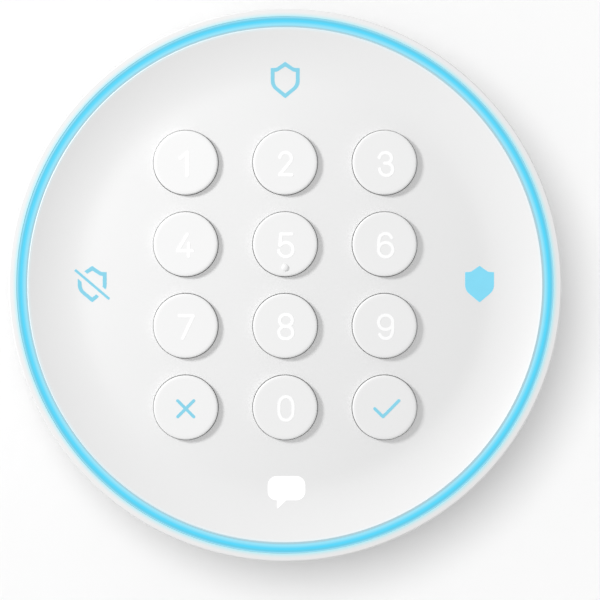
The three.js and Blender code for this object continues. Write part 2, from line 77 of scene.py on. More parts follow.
CASE_LEAN = 1.15  # how far the side wall leans in towards the foot
CASE_FOOT_R = CASE_R - CASE_LEAN
CASE_WALL = 2.4
CASE_BORE_R = CASE_R - CASE_WALL
SHOULDER_H = 0.5
SHOULDER_W = 0.22
FOOT_ROUND = (0.8, 1.0)  # across and up
SLOT_ROUND = 0.06
RING_WIDTH = 1.5
RING_IN_R = RING_OUT_R - RING_WIDTH
RING_SKIRT_R = (40.4, 42.35)
RING_FOOT = 22.4
RING_STEPS = (23.8, 24.2)  # heights of the steps from skirt to band, inside and outside
RING_SLOT_GAP = 0.06
RING_SLOT_DEPTH = 3.1

FACE_REACH = FACE_R + 0.1  # the visible rim comes a little closer to the ring than the frame's
FACE_UNDER = 24.0
FACE_THICK = 1.0
FACE_EDGE = 0.25
MOAT_R = 33.0  # lowest circle of the face
MOAT_Z = FACE_UNDER + FACE_THICK
DOME_RISE = 1.5
LIP_RISE = 2.0
LIP_POWER = 1.8
VALLEY = 0.06  # softness of the fold between the dome and the lip
BOSS_Z = (20.9, FACE_UNDER + 0.2)
BOSS_BORE_Z = (20, FACE_UNDER - 0.4)

KEY_R = 5.25
KEY_HOLE_R = 5.335
HOLE_EDGE = 0.12
KEY_DISH = 0.06  # how far a key's middle lies below its rim
KEY_FILLET = 0.33
KEY_LIFT = 0.15  # the cap's rounded rim above the frame's flat one
KEY_WALL = 1.2
KEY_FLANGE_R = 6.1
KEY_FLANGE = (0.4, 1.2)  # above the key's foot
KEY_POST_R = 1.4
PIP_BELOW = 3.84  # from the middle of key 5 down to its raised dot
DOME_R = 4.2
DOME_Z = (21.5, 22.6)
MAT_SIZE = (44.6, 52.4)
STROKE = 0.5  # line width of the digits
LEGEND_DEPTH = 0.25
MARK_PROUD = 0.03

CASE_SCREW_ANGLES = [45, 135, 225, 315]
COLUMN_Z = (5.8, 18.7)  # the posts inside the casing for its long screws
BAYONET_ANGLES = [90, 210, 330]
TAMPER_ANGLE = 215
RESET_ANGLE = 72
RESET_FROM = 40.1  # distances along the button from the keypad's axis
RESET_FLANGE = 41
RESET_TO = 44.2
RESET_STEM_R = 1.6
RESET_HOLE_R = 1.85
SOCKET_OPENING = (10, 4, 1.95)  # width, height and corner radius

PLATE_R = 39.5
PLATE_BACK = 0.5
PLATE_TOP = 2.5
COLLAR_R = (24, 26)
COLLAR_TOP = 6.4
LUG_R = (25.6, 28.8)
LUG_Z = (5, 6.2)
LUG_SPAN = 26
SCREW_SLOT = (3.8, 8, 1.88)  # width, length and corner radius
SCREW_SLOT_AT = 15
POCKET_R = (31.6, 34.4)
POCKET_FLOOR = 1.2
FOOT_R = (35, 38.6)
FOOT_GAP = 0.15  # between the foot ring and the channel it sits in
CHANNEL_ROOF = 1.4
WELL_R = (29.2, 30.8)  # the cover's well round the bayonet, inside and outside
WELL_Z = (8, 9.4)
COVER_TOP = 5.4
LEDGE_R = (26.4, 29.8)
LEDGE_TOP = 4.7
HEAD_RECESS_TOP = 4.7

AIM_Z = 27.0  # height of the face, which the camera and the lights point at


def face_height(x, y):
    """Height of the dished face: a low dome inside the moat and a lip that steepens outside it."""
    radius = hypot(x, y)
    dome = DOME_RISE * (1 - (radius / MOAT_R) ** 2)
    lip = LIP_RISE * (max(0, radius - MOAT_R) / (FACE_R - MOAT_R)) ** LIP_POWER
    return MOAT_Z + (dome + lip + hypot(dome - lip, VALLEY)) / 2


# ---------------------------------------------------------------- shader arithmetic


class Wire:
    """A shader socket that takes part in ordinary arithmetic; each operation adds a Math node."""

    def __init__(self, finish, socket):
        self.finish = finish
        self.socket = socket

    def math(self, operation, *values):
        inputs = dict(enumerate(values))
        return self.finish.add("Math", {"operation": operation}, inputs)

    def __add__(self, other):
        return self.math("ADD", self, other)

    def __sub__(self, other):
        return self.math("SUBTRACT", self, other)

    def __rsub__(self, other):
        return self.math("SUBTRACT", other, self)

    def __mul__(self, other):
        return self.math("MULTIPLY", self, other)

    def __pow__(self, other):
        return self.math("POWER", self, other)

    __radd__ = __add__
    __rmul__ = __mul__

    def between(self, low, high):
        """0 at low, 1 at high, eased in between."""
        inputs = {"Value": self, "From Min": low, "From Max": high}
        return self.finish.add("MapRange", {"interpolation_type": "SMOOTHSTEP"}, inputs)


class Finish:
    """A material being built up from nodes around one Principled shader."""

    def __init__(self, name):
        self.material = bpy.data.materials.new(name)
        self.material.use_nodes = True
        self.tree = self.material.node_tree
        self.tree.nodes.clear()
        self.place = self.add("TexCoord", output="Object")

    def add(self, kind, settings=None, inputs=None, output=0):
        node = self.tree.nodes.new("ShaderNode" + kind)
        for name, value in (settings or {}).items():
            setattr(node, name, value)
        for name, value in (inputs or {}).items():
            self.plug(node.inputs[name], value)
        return Wire(self, node.outputs[output]) if node.outputs else None

    def plug(self, socket, value):
        if isinstance(value, Wire):
            self.tree.links.new(value.socket, socket)
        elif socket.type == "RGBA" and len(value) == 3:
            socket.default_value = (*value, 1)
        else:
            socket.default_value = value

    def noise(self, scale, detail=2.0, stretch=(1, 1, 1)):
        """Cloudy values round 0.5, with scale in features per millimetre."""
        place = self.add("Mapping", inputs={"Vector": self.place, "Scale": stretch})
        inputs = {"Vector": place, "Scale": scale / MM, "Detail": detail}
        return self.add("TexNoise", inputs=inputs)

    def mix(self, amount, first, second):
        inputs = {"Factor": amount, 6: first, 7: second}
        return self.add("Mix", {"data_type": "RGBA"}, inputs, output=2)

    def ramp(self, value, stops):
        """A colour that runs through (value, colour) stops."""
        colour = stops[0][1]
        for (low, _), (high, after) in zip(stops, stops[1:]):
            colour = self.mix(value.between(low, high), colour, after)
        return colour

    def axis(self, name):
        return self.add("SeparateXYZ", inputs={"Vector": self.place}, output=name)

    def radius(self):
        """Distance from the keypad's axis in millimetres."""
        x, y = self.axis("X"), self.axis("Y")
        return (x * x + y * y) ** 0.5 * (1 / MM)

    def bump(self, height, depth, under=None):
        """Relief from a height of 0 to 1, with its depth in millimetres."""
        inputs = {"Height": height, "Distance": depth * MM}
        if under:
            inputs["Normal"] = under
        return self.add("Bump", inputs=inputs)

    def shade(self, **inputs):
        """Ends the material: words joined by _ name the Principled shader's sockets."""
        named = {name.replace("_", " "): value for name, value in inputs.items()}
        surface = self.add("BsdfPrincipled", inputs=named)
        self.add("OutputMaterial", inputs={"Surface": surface})
        return self.material


# ---------------------------------------------------------------- finishes

RING_GLOW = [(0.0, (0.32, 0.56, 0.65)), (0.15, (0.29, 0.72, 0.88)), (0.85, (0.053, 0.62, 0.90)),
             (1.14, (0.08, 0.55, 0.76)), (1.30, (0.16, 0.58, 0.77)), (1.47, (0.36, 0.73, 0.86))]
MARK_CYAN = (0.21, 0.70, 0.92)
THIN_CYAN = (0.23, 0.65, 0.82)


def moulded(name, colour, rough, grain, depth, drift=0.012):
    """Satin moulded plastic: a faint drift in shade and gloss over a fine, even grain."""
    finish = Finish(name)
    cloud = finish.noise(0.09, 3)
    fine = finish.noise(grain, 2)
    dark = tuple(channel * (1 - drift) for channel in colour)
    return finish.shade(
        Base_Color=finish.mix(cloud, dark, colour),
        Roughness=rough - 0.04 + cloud * 0.04 + fine * 0.04,
        Normal=finish.bump(fine, depth),
    )


def casing_finish():
    """White casing plastic with painted ring light and painted shade beside the ring: near the top its
    colour turns darker and cyan and it glows faintly.
    """
    finish = Finish("casing_white")
    cloud = finish.noise(0.09, 3)
    fine = finish.noise(4.5, 2)
    away = finish.radius() - RING_OUT_R
    height = finish.axis("Z") * (1 / MM)
    # painted ring light and painted shade: beside the ring, near the top, the base colour darkens towards
    # cyan and a faint cyan emission is added
    painted_glow_and_shade = (1 - away.between(-0.05, 1.05)) ** 2 * height.between(CASE_TOP - 2.2, CASE_TOP - 0.4)
    white = finish.mix(cloud, (0.80, 0.80, 0.80), (0.815, 0.815, 0.815))
    return finish.shade(
        Base_Color=finish.mix(painted_glow_and_shade, white, (0.43, 0.77, 0.81)),
        Roughness=0.40 + cloud * 0.04 + fine * 0.04,
        Normal=finish.bump(fine, 0.0012),
        Emission_Color=finish.mix(painted_glow_and_shade, (0, 0, 0), (0.012, 0.05, 0.09)),
        Emission_Strength=1.0,
    )


def face_finish():
    """White face plastic with a thin line of painted ring light and painted shade at its rim: the colour
    darkens there and a faint cyan emission is added.
    """
    finish = Finish("face_white")
    cloud = finish.noise(0.07, 3)
    fine = finish.noise(4.5, 2)
    # painted ring light and painted shade: the last half millimetre of the rim is darker, with a faint cyan
    # emission
    painted_glow_and_shade = finish.radius().between(FACE_R - 0.55, FACE_R)
    white = finish.mix(cloud, (0.80, 0.80, 0.80), (0.815, 0.815, 0.815))
    return finish.shade(
        Base_Color=finish.mix(painted_glow_and_shade, white, (0.76, 0.76, 0.76)),
        Roughness=0.38 + cloud * 0.04 + fine * 0.04,
        Normal=finish.bump(fine, 0.0010),
        Emission_Color=finish.mix(painted_glow_and_shade, (0, 0, 0), (0.02, 0.11, 0.14)),
        Emission_Strength=1.0,
    )


def ring_finish():
    """Lit diffuser: pale beside the face, deepest past its middle, pale again at its outer wall."""
    finish = Finish("ring_lit")
    cloud = finish.noise(0.35, 2)
    lit = finish.ramp(finish.radius() - RING_IN_R, RING_GLOW)
    crest = (finish.axis("Z") * (1 / MM)).between(CASE_TOP - 1.0, CASE_TOP - 0.15)
    lit = finish.mix(crest, (0.36, 0.50, 0.55), lit)
    return finish.shade(
        Base_Color=(0.02, 0.05, 0.06),
        Roughness=0.42 + cloud * 0.08,
        Emission_Color=finish.mix(cloud * 0.08, lit, (0.2, 0.8, 1.0)),
        Emission_Strength=0.97,
        Normal=finish.bump(finish.noise(3, 2), 0.0008),
    )


def lit_print(name, colour, base, strength):
    """Translucent print with a lamp behind it, a touch uneven."""
    finish = Finish(name)
    cloud = finish.noise(0.8, 3)
    dim = tuple(channel * 0.94 for channel in colour)
    return finish.shade(
        Base_Color=base,
        Roughness=0.42 + cloud * 0.08,
        Emission_Color=finish.mix(cloud, dim, colour),
        Emission_Strength=strength,
    )


def rubber_finish():
    finish = Finish("foot_rubber")
    cloud = finish.noise(0.25, 4)
    fine = finish.noise(7, 2)
    return finish.shade(
        Base_Color=finish.mix(cloud, (0.075, 0.078, 0.080), (0.10, 0.103, 0.106)),
        Roughness=0.78 + fine * 0.12,
        Normal=finish.bump(fine, 0.012),
    )


def steel_finish(name, colour, rough):
    """Plated steel with faint directional scratches and a dulled cloud or two."""
    finish = Finish(name)
    cloud = finish.noise(0.3, 4)
    scratch = finish.noise(1.2, 3, stretch=(1, 12, 12))
    dull = tuple(channel * 0.8 for channel in colour)
    return finish.shade(
        Base_Color=finish.mix(cloud, dull, colour),
        Metallic=1.0,
        Roughness=rough + scratch * 0.15,
        Normal=finish.bump(scratch, 0.002),
    )


def board_finish():
    """Green solder mask with copper tracks showing through as slightly paler lines."""
    finish = Finish("board_green")
    inputs = {"Vector": finish.place, "Scale": 0.28 / MM, "Randomness": 0.2}
    cells = finish.add("TexVoronoi", {"feature": "DISTANCE_TO_EDGE"}, inputs, output="Distance")
    tracks = 1 - cells.between(0.03, 0.09)
    cloud = finish.noise(0.4, 3)
    mask = finish.mix(cloud, (0.008, 0.075, 0.035), (0.014, 0.10, 0.05))
    return finish.shade(
        Base_Color=finish.mix(tracks, mask, (0.03, 0.18, 0.08)),
        Roughness=0.30 + cloud * 0.1,
        Normal=finish.bump(tracks, 0.03),
    )


CASING = casing_finish()
FACE = face_finish()
KEY = moulded("key_white", (0.85, 0.85, 0.85), 0.40, 5.5, 0.0006)
RING = ring_finish()
DIGIT_WHITE = lit_print("digit_white", (1.0, 1.0, 1.0), (0.85, 0.85, 0.85), 0.14)
BUBBLE_WHITE = lit_print("bubble_white", (1.0, 1.0, 1.0), (0.88, 0.88, 0.88), 0.24)
PRINT_CYAN = lit_print("print_cyan", MARK_CYAN, (0.03, 0.06, 0.07), 0.93)
LINE_CYAN = lit_print("line_cyan", THIN_CYAN, (0.03, 0.06, 0.07), 0.93)
PLATE = moulded("plate_grey", (0.62, 0.63, 0.64), 0.55, 3.0, 0.010, drift=0.05)
RUBBER = rubber_finish()
SILICONE = moulded("mat_silicone", (0.70, 0.73, 0.75), 0.62, 2.0, 0.004, drift=0.06)
BOARD = board_finish()
BLACK = moulded("black_moulding", (0.012, 0.012, 0.014), 0.50, 2.5, 0.010, drift=0.3)
CONE = moulded("cone_paper", (0.025, 0.025, 0.027), 0.80, 1.2, 0.030, drift=0.4)
WRAP = moulded("battery_wrap", (0.03, 0.13, 0.36), 0.32, 1.0, 0.010, drift=0.2)
FOAM = moulded("pad_foam", (0.05, 0.05, 0.052), 0.92, 2.2, 0.080, drift=0.3)
SLEEVE = moulded("lead_sleeve", (0.45, 0.02, 0.015), 0.38, 1.5, 0.006, drift=0.15)
STEEL = steel_finish("screw_steel", (0.62, 0.63, 0.65), 0.28)
TIN = steel_finish("shield_tin", (0.70, 0.71, 0.72), 0.22)
MAGNET = steel_finish("magnet_plate", (0.45, 0.45, 0.46), 0.35)

# ---------------------------------------------------------------- modelling helpers


def rounded(corners, steps=5):
    """The closed outline through (x, y, radius) corners, with an arc at each that has a radius."""
    outline = []
    for index, (x, y, radius) in enumerate(corners):
        here = Vector((x, y))
        if not radius:
            outline.append(here)
            continue
        before = (Vector(corners[index - 1][:2]) - here).normalized()
        after = (Vector(corners[(index + 1) % len(corners)][:2]) - here).normalized()
        half = before.angle(after) / 2
        centre = here + (before + after).normalized() * (radius / sin(half))
        start = here + before * (radius / tan(half)) - centre
        end = here + after * (radius / tan(half)) - centre
        outline += [centre + start.slerp(end, step / steps) * radius for step in range(steps + 1)]
    return outline


def arc(centre, radii, angles):
    """Points of an ellipse at the given angles."""
    turns = [radians(angle) for angle in angles]
    return [(centre[0] + radii[0] * cos(turn), centre[1] + radii[1] * sin(turn)) for turn in turns]


def lathe(outline, steps=160):
    """Turns a closed (radius, z) outline about Z; points on the axis become poles."""
    bm = bmesh.new()
    verts = [bm.verts.new((x, 0, z)) for x, z in outline]
    on_axis = [vert.co.x < 1e-6 for vert in verts]
    for index, vert in enumerate(verts):
        after = (index + 1) % len(verts)
        if not (on_axis[index] and on_axis[after]):
            bm.edges.new((vert, verts[after]))
    bmesh.ops.spin(bm, geom=bm.verts[:] + bm.edges[:], cent=(0, 0, 0), axis=(0, 0, 1),
                   angle=tau, steps=steps, use_merge=True)
    return tidied(bm)


def tidied(bm):
    bmesh.ops.remove_doubles(bm, verts=bm.verts, dist=1e-4)
    bmesh.ops.dissolve_degenerate(bm, dist=1e-5, edges=bm.edges)
    bmesh.ops.recalc_face_normals(bm, faces=bm.faces)
    return bm


def plate(outlines, low, high, edge=0.0):
    """A flat plate with rounded edges; an outline inside another is a hole."""
    curve = bpy.data.curves.new("outline", "CURVE")
    curve.dimensions = "2D"
    curve.fill_mode = "BOTH"
    curve.extrude = (high - low) / 2 - edge
    curve.bevel_depth = edge
    curve.bevel_resolution = 2
    curve.offset = -edge
    for outline in outlines:
        spline = curve.splines.new("POLY")
        spline.points.add(len(outline) - 1)
        spline.use_cyclic_u = True
        for point, (x, y) in zip(spline.points, outline):
            point.co = (x, y, 0, 1)
    holder = bpy.data.objects.new("outline", curve)
    mesh = bpy.data.meshes.new_from_object(holder)
    bm = bmesh.new()
    bm.from_mesh(mesh)
    bpy.data.objects.remove(holder)
    bpy.data.curves.remove(curve)
    bpy.data.meshes.remove(mesh)
    bmesh.ops.translate(bm, verts=bm.verts, vec=(0, 0, (low + high) / 2))
    return tidied(bm)


def gridded(bm, pitch):
    """Cuts long faces along a grid so that the piece can be bent smoothly."""
    for axis in (0, 1):
        reach = max(abs(vert.co[axis]) for vert in bm.verts)
        normal = Vector((axis == 0, axis == 1, 0))
        for step in range(-int(reach / pitch), int(reach / pitch) + 1):
            geom = bm.verts[:] + bm.edges[:] + bm.faces[:]
            place = normal * (step + 0.013) * pitch
            bmesh.ops.bisect_plane(bm, geom=geom, plane_co=place, plane_no=normal)
    return bm


def moved(bm, x=0.0, y=0.0, z=0.0):
    bmesh.ops.translate(bm, verts=bm.verts, vec=(x, y, z))
    return bm


def draped(bm, height):
    """Raises every point by the height of a surface under it."""
    for vert in bm.verts:
        vert.co.z += height(vert.co.x, vert.co.y)
    return bm


def merged(*meshes):
    """One bmesh that holds several."""
    whole = bmesh.new()
    for bm in meshes:
        mesh = bpy.data.meshes.new("part")
        bm.to_mesh(mesh)
        bm.free()
        whole.from_mesh(mesh)
        bpy.data.meshes.remove(mesh)
    return whole


def turned(bm, degrees, axis="Z"):
    turn = Matrix.Rotation(radians(degrees), 3, axis)
    bmesh.ops.rotate(bm, cent=(0, 0, 0), matrix=turn, verts=bm.verts)
    return bm


def polar(radius, degrees):
    return Vector((radius * cos(radians(degrees)), radius * sin(radians(degrees)), 0))


def slab(width, length, corner, low, high, edge=0.0):
    """A flat box round the axis, with rounded corners."""
    x, y = width / 2, length / 2
    corners = [(-x, -y, corner), (x, -y, corner), (x, y, corner), (-x, y, corner)]
    return plate([rounded(corners, 8)], low, high, edge)


def rod(radius, low, high, place=(0, 0), edge=0.0, steps=48):
    """An upright round post, with its end edges rounded."""
    corners = [(0, low, 0), (radius, low, edge), (radius, high, edge), (0, high, 0)]
    return moved(lathe(rounded(corners, 3), steps), place[0], place[1])


def sector(inner, outer, middle, degrees, low, high, edge=0.0, steps=16):
    """Part of a ring, centred on an angle."""
    angles = [middle + degrees * (step / steps - 0.5) for step in range(steps + 1)]
    outline = [polar(outer, a).xy for a in angles] + [polar(inner, a).xy for a in reversed(angles)]
    return plate([outline], low, high, edge)


def raw_object(name, bm):
    mesh = bpy.data.meshes.new(name)
    bm.to_mesh(mesh)
    bm.free()
    piece = bpy.data.objects.new(name, mesh)
    bpy.context.scene.collection.objects.link(piece)
    return piece


def combined(operation, base, *others):
    """Joins or cuts bmeshes one after another and returns the result as a bmesh."""
    for other in others:
        holder, tool = raw_object("base", base), raw_object("tool", other)
        step = holder.modifiers.new("step", "BOOLEAN")
        step.operation = operation
        step.solver = "EXACT"
        step.object = tool
        bpy.context.view_layer.update()
        base = bmesh.new()
        base.from_object(holder, bpy.context.evaluated_depsgraph_get())
        tidied(base)
        for used in (holder, tool):
            mesh = used.data
            bpy.data.objects.remove(used)
            bpy.data.meshes.remove(mesh)
    return base


def finished(name, bm, material, body, replaces=(), angle=32, weighted=True):
    """Names a piece, brings it to metres, gives it its finish and hangs it on its body."""
    bmesh.ops.scale(bm, vec=(MM, MM, MM), verts=bm.verts)
    piece = raw_object(name, bm)
    piece.data.materials.append(material)
    piece.data.shade_smooth()
    piece.data.set_sharp_from_angle(angle=radians(angle))
    if weighted:
        normals = piece.modifiers.new("even_normals", "WEIGHTED_NORMAL")
        normals.keep_sharp = True
        normals.weight = 80
    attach(piece, body)
    if replaces:
        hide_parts(*replaces)
    return piece


# ---------------------------------------------------------------- casing


def case_wall(steps=12, bulge=0.8):
    """The outer shell: a leaning side wall, a rounded shoulder and the slot that holds the light ring."""
    slot_r = RING_OUT_R + RING_SLOT_GAP
    slot_floor = CASE_TOP - RING_SLOT_DEPTH
    shoulder_z = CASE_TOP - SHOULDER_H
    shoulder = arc((CASE_R - SHOULDER_W, shoulder_z), (SHOULDER_W, SHOULDER_H), range(0, 91, 6))
    foot, top = Vector((CASE_FOOT_R, CASE_FOOT + FOOT_ROUND[1])), Vector((CASE_R, shoulder_z))
    wall = [foot.lerp(top, (step / steps) ** bulge) for step in range(1, steps)]
    bottom = arc((CASE_FOOT_R - FOOT_ROUND[0], CASE_FOOT + FOOT_ROUND[1]), FOOT_ROUND, range(-90, 1, 15))
    slot_corner = (slot_r + SLOT_ROUND, CASE_TOP - SLOT_ROUND)
    slot_edge = arc(slot_corner, (-SLOT_ROUND, SLOT_ROUND), range(90, -1, -18))
    inside = [*slot_edge, (slot_r, slot_floor), (CASE_BORE_R, slot_floor), (CASE_BORE_R, CASE_FOOT)]
    return lathe([*bottom, *wall, *shoulder, *inside], steps=240)


def screw_columns():
    """Posts inside the casing for its four long screws, each tied to the wall by a web."""
    columns = []
    for place, angle in zip(CASE_SCREWS, CASE_SCREW_ANGLES):
        columns.append(rod(2.8, *COLUMN_Z, place, 0.2))
        web = moved(slab(4, 2.4, 0.2, *COLUMN_Z), x=41)
        columns.append(turned(web, angle))
    return combined("UNION", *columns)


def speaker_slots(count=11, step_degrees=4.6, width=1.3, height=6.5, middle_z=10.75):
    slots = []
    for index in range(count):
        slot = moved(turned(slab(width, height, 0.6, 0, 6), 90, "X"), y=-CASE_R + 5, z=middle_z)
        slots.append(turned(slot, (index - (count - 1) / 2) * step_degrees))
    return merged(*slots)


def radial_rod(outline, degrees, z, steps=48):
    """A turned piece that points outwards; its outline is (radius, distance from the keypad's axis)."""
    return moved(turned(turned(lathe(outline, steps), 90, "Y"), degrees), z=z)


def make_casing():
    socket_opening = moved(turned(slab(*SOCKET_OPENING, 0, 8), 90, "X"), y=CASE_R + 3, z=SOCKET_Z)
    hole_from, hole_to = RESET_FROM + 0.4, CASE_R + 2
    hole = [(0, hole_from), (RESET_HOLE_R, hole_from), (RESET_HOLE_R, hole_to), (0, hole_to)]
    reset_hole = radial_rod(hole, RESET_ANGLE, RESET_Z)
    bores = merged(*[rod(1.5, 5, 20, place) for place in CASE_SCREWS])
    shell = combined("UNION", case_wall(), screw_columns())
    shell = combined("DIFFERENCE", shell, bores, speaker_slots(), socket_opening, reset_hole)
    finished("casing_shell", shell, CASING, "housing", ["outer_shell"])


def make_rear_cover():
    """The pan that closes the casing: a well for the bayonet, screw recesses and the plunger's tube."""
    (inner, outer), (roof, floor) = WELL_R, WELL_Z
    well = [(0, roof, 0), (inner, roof, 0.4), (inner, CASE_FOOT, 0.3), (COVER_R, CASE_FOOT, 0.35),
            (COVER_R, COVER_TOP, 0.2), (outer, COVER_TOP, 0.3), (outer, floor, 0.5), (0, floor, 0)]
    ledges = [sector(*LEDGE_R, angle, 30, CASE_FOOT, LEDGE_TOP) for angle in BAYONET_ANGLES]
    guide = rod(2.4, COVER_TOP - 0.4, roof + 0.4, TAMPER, 0.2)
    holes = [rod(1.5, 3, 9, TAMPER)]
    for place in CASE_SCREWS:
        holes.append(rod(1.6, 3, 6, place))
        holes.append(rod(2.7, 3, HEAD_RECESS_TOP, place))
    pan = combined("UNION", lathe(rounded(well, 3), 180), merged(*ledges), guide)
    pan = combined("DIFFERENCE", pan, *holes)
    finished("cover_pan", pan, CASING, "housing", ["rear_cover"])


def make_light_ring():
    """The diffuser: a lit band above a skirt that stands over the lamps."""
    crest, (skirt_in, skirt_out) = CASE_TOP - 0.05, RING_SKIRT_R
    step_in, step_out = RING_STEPS
    outline = [(RING_IN_R, step_in, 0), (RING_IN_R, crest, 0.25), (RING_OUT_R, crest, 0.3),
               (RING_OUT_R, step_out, 0), (skirt_out, step_out, 0), (skirt_out, RING_FOOT, 0),
               (skirt_in, RING_FOOT, 0), (skirt_in, step_in, 0)]
    ring = lathe(rounded(outline, 5), 240)
    finished("ring_diffuser", ring, RING, "housing", ["light_ring"])


def make_face():
    """The dished face, with a hole for each key, screw bosses below and every edge slightly rounded."""
    rim_r, rim_z = FACE_REACH - FACE_EDGE, face_height(FACE_R, 0) - FACE_EDGE
    rim = arc((rim_r, rim_z), (FACE_EDGE, FACE_EDGE), range(0, 76, 15))
    loops = 34
    dish = [(r, face_height(r, 0)) for r in (rim_r * (loops - i) / loops for i in range(loops + 1))]
    sheet = lathe([(0, FACE_UNDER), (FACE_REACH, FACE_UNDER), *rim, *dish], steps=240)
    bosses = [rod(2.6, *BOSS_Z, place, 0.15) for place in CASE_SCREWS]
    bosses += [rod(2.2, *BOSS_Z, place, 0.15) for place in BOARD_SCREWS]
    bores = [rod(1.4, *BOSS_BORE_Z, place) for place in CASE_SCREWS]
    bores += [rod(1.1, *BOSS_BORE_Z, place) for place in BOARD_SCREWS]
    mouth = KEY_HOLE_R + HOLE_EDGE
    flare = arc((mouth, -HOLE_EDGE), (-HOLE_EDGE, HOLE_EDGE), range(0, 79, 13))
    bore = [(0, -4), (KEY_HOLE_R, -4), *flare, (mouth, 0.05), (mouth, 3), (0, 3)]
    holes = [moved(lathe(bore, 72), centre_mm(key).x, centre_mm(key).y) for key in ALL_KEYS]
    cutter = draped(merged(*holes), face_height)
    panel = combined("UNION", sheet, merged(*bosses))
    panel = combined("DIFFERENCE", panel, cutter, merged(*bores))
    finished("face_dish", panel, FACE, "housing", ["face_panel"])


# ---------------------------------------------------------------- keys and their legends


class Pen:
    """Draws a flat line with round ends: the nib's edge is extruded for straights and spun for arcs."""

    def __init__(self, x, y, heading, width=STROKE, closed=False):
        self.bm = bmesh.new()
        self.half = width / 2
        self.closed = closed
        self.at = Vector((x, y, 0))
        self.ahead = Matrix.Rotation(radians(heading), 3, "Z") @ Vector((1, 0, 0))
        side = self.side() * self.half
        verts = [self.bm.verts.new(self.at + side * share) for share in (-1, 0, 1)]
        self.nib = [self.bm.edges.new(pair) for pair in zip(verts, verts[1:])]
        if not closed:
            self.cap(self.nib[:1], -180)

    def side(self):
        return Vector((-self.ahead.y, self.ahead.x, 0))

    def cap(self, half_nib, degrees):
        geom = half_nib + [vert for edge in half_nib for vert in edge.verts]
        bmesh.ops.spin(self.bm, geom=geom, cent=self.at, axis=(0, 0, 1), angle=radians(degrees),
                       steps=10, use_duplicate=False)

    def line(self, length):
        made = bmesh.ops.extrude_edge_only(self.bm, edges=self.nib)["geom"]
        self.nib = [item for item in made if isinstance(item, bmesh.types.BMEdge)
                    and all(vert in made for vert in item.verts)]
        verts = [item for item in made if isinstance(item, bmesh.types.BMVert)]
        bmesh.ops.translate(self.bm, verts=verts, vec=self.ahead * length)
        self.at = self.at + self.ahead * length
        return self

    def arc(self, radius, degrees):
        """Turns left for positive degrees, round a centre that lies a radius to that side."""
        centre = self.at + self.side() * (radius if degrees > 0 else -radius)
        geom = self.nib + list({vert for edge in self.nib for vert in edge.verts})
        steps = max(3, int(abs(degrees) / 9))
        spun = bmesh.ops.spin(self.bm, geom=geom, cent=centre, axis=(0, 0, 1), angle=radians(degrees),
                              steps=steps)["geom_last"]
        self.nib = [item for item in spun if isinstance(item, bmesh.types.BMEdge)]
        turn = Matrix.Rotation(radians(degrees), 3, "Z")
        self.at = centre + turn @ (self.at - centre)
        self.ahead = turn @ self.ahead
        return self

    def done(self, depth):
        """Ends the line with a round cap and gives it a thickness."""
        if not self.closed:
            self.cap(self.nib[-1:], -180)
        return thickened(self.bm, depth)


def thickened(bm, depth):
    bmesh.ops.remove_doubles(bm, verts=bm.verts, dist=2e-3)
    faces = bmesh.ops.extrude_face_region(bm, geom=bm.faces[:])["geom"]
    bmesh.ops.translate(bm, verts=[item for item in faces if isinstance(item, bmesh.types.BMVert)],
                        vec=(0, 0, depth))
    return tidied(bm)


def glyph(name):
    """The strokes of each legend, centred on the key: start x, y and heading, then lines and arcs."""
    if name == "0":
        oval = Pen(1.3, -0.6, 90, closed=True)
        for _ in range(2):
            oval.line(0.9).arc(1.9, 30).arc(1.034, 120).arc(1.9, 30)
        return [oval]
    if name == "1":
        return [Pen(-0.85, 0.72, 41).line(1.47), Pen(0.26, 1.68, -90).line(3.78)]
    if name == "2":
        hook = Pen(-0.87, 0.81, 82.5).arc(0.955, -211.7).line(2.685)
        return [hook, Pen(-0.85, -2.02, 0).line(1.95)]
    if name == "3":
        upper = Pen(-0.86, 0.76, 82).arc(1.02, -142).arc(0.82, -120)
        return [upper, Pen(0.0, -0.1, 0).line(0.32).arc(1.01, -180).arc(1.12, -88)]
    if name == "4":
        slant = Pen(0.3, 1.62, -121).line(3.14)
        return [slant, Pen(-1.32, -1.07, 0).line(2.45), Pen(0.5, 0.1, -90).line(2.05)]
    if name == "5":
        bowl = Pen(-0.80, -0.21, 54).arc(1.16, -317)
        return [Pen(-0.68, 1.64, 0).line(1.78), Pen(-0.68, 1.64, -95).line(1.84), bowl]
    if name == "6":
        bowl = Pen(1.35, -0.91, 90, closed=True).arc(1.17, 360)
        return [bowl, Pen(-0.98, -0.9, 90).line(0.98).arc(3.0, -18).arc(1.05, -142)]
    if name == "7":
        return [Pen(-1.02, 1.64, 0).line(2.3), Pen(1.28, 1.64, -115.6).line(4.09)]
    if name == "8":
        loops = []
        for x, y, radius, straight in ((1.19, 0.88, 0.95, 0.18), (1.26, -1.1, 1.01, 0.24)):
            loop = Pen(x, y, 90, closed=True).arc(radius, 90).line(straight)
            loops.append(loop.arc(radius, 180).line(straight).arc(radius, 90))
        return loops
    if name == "9":
        bowl = Pen(1.35, 0.57, 90, closed=True).arc(1.17, 360)
        return [bowl, Pen(1.34, 0.56, -90).line(0.98).arc(3.0, -18).arc(1.05, -142)]
    if name == "cancel":
        return [Pen(-1.3, -1.5, 45).line(3.68), Pen(-1.3, 1.1, -45).line(3.68)]
    return [Pen(-1.6, -0.2, -44.3).line(1.86), Pen(-0.186, -1.415, 45.3).line(3.56)]


def key_top(key):
    return box_mm(key)[1].z + KEY_LIFT


def key_slope(key):
    """The face's height round a key less its height at the key's centre: the cap's top follows it."""
    place = centre_mm(key)
    middle = face_height(place.x, place.y)
    return lambda x, y: face_height(x, y) - middle


def key_surface(key):
    """Height of a key's slightly dished top."""
    place, top, slope = centre_mm(key), key_top(key), key_slope(key)

    def height(x, y):
        share = min(1, hypot(x - place.x, y - place.y) / KEY_R)
        return top + slope(x, y) - KEY_DISH * (1 - share ** 2)

    return height


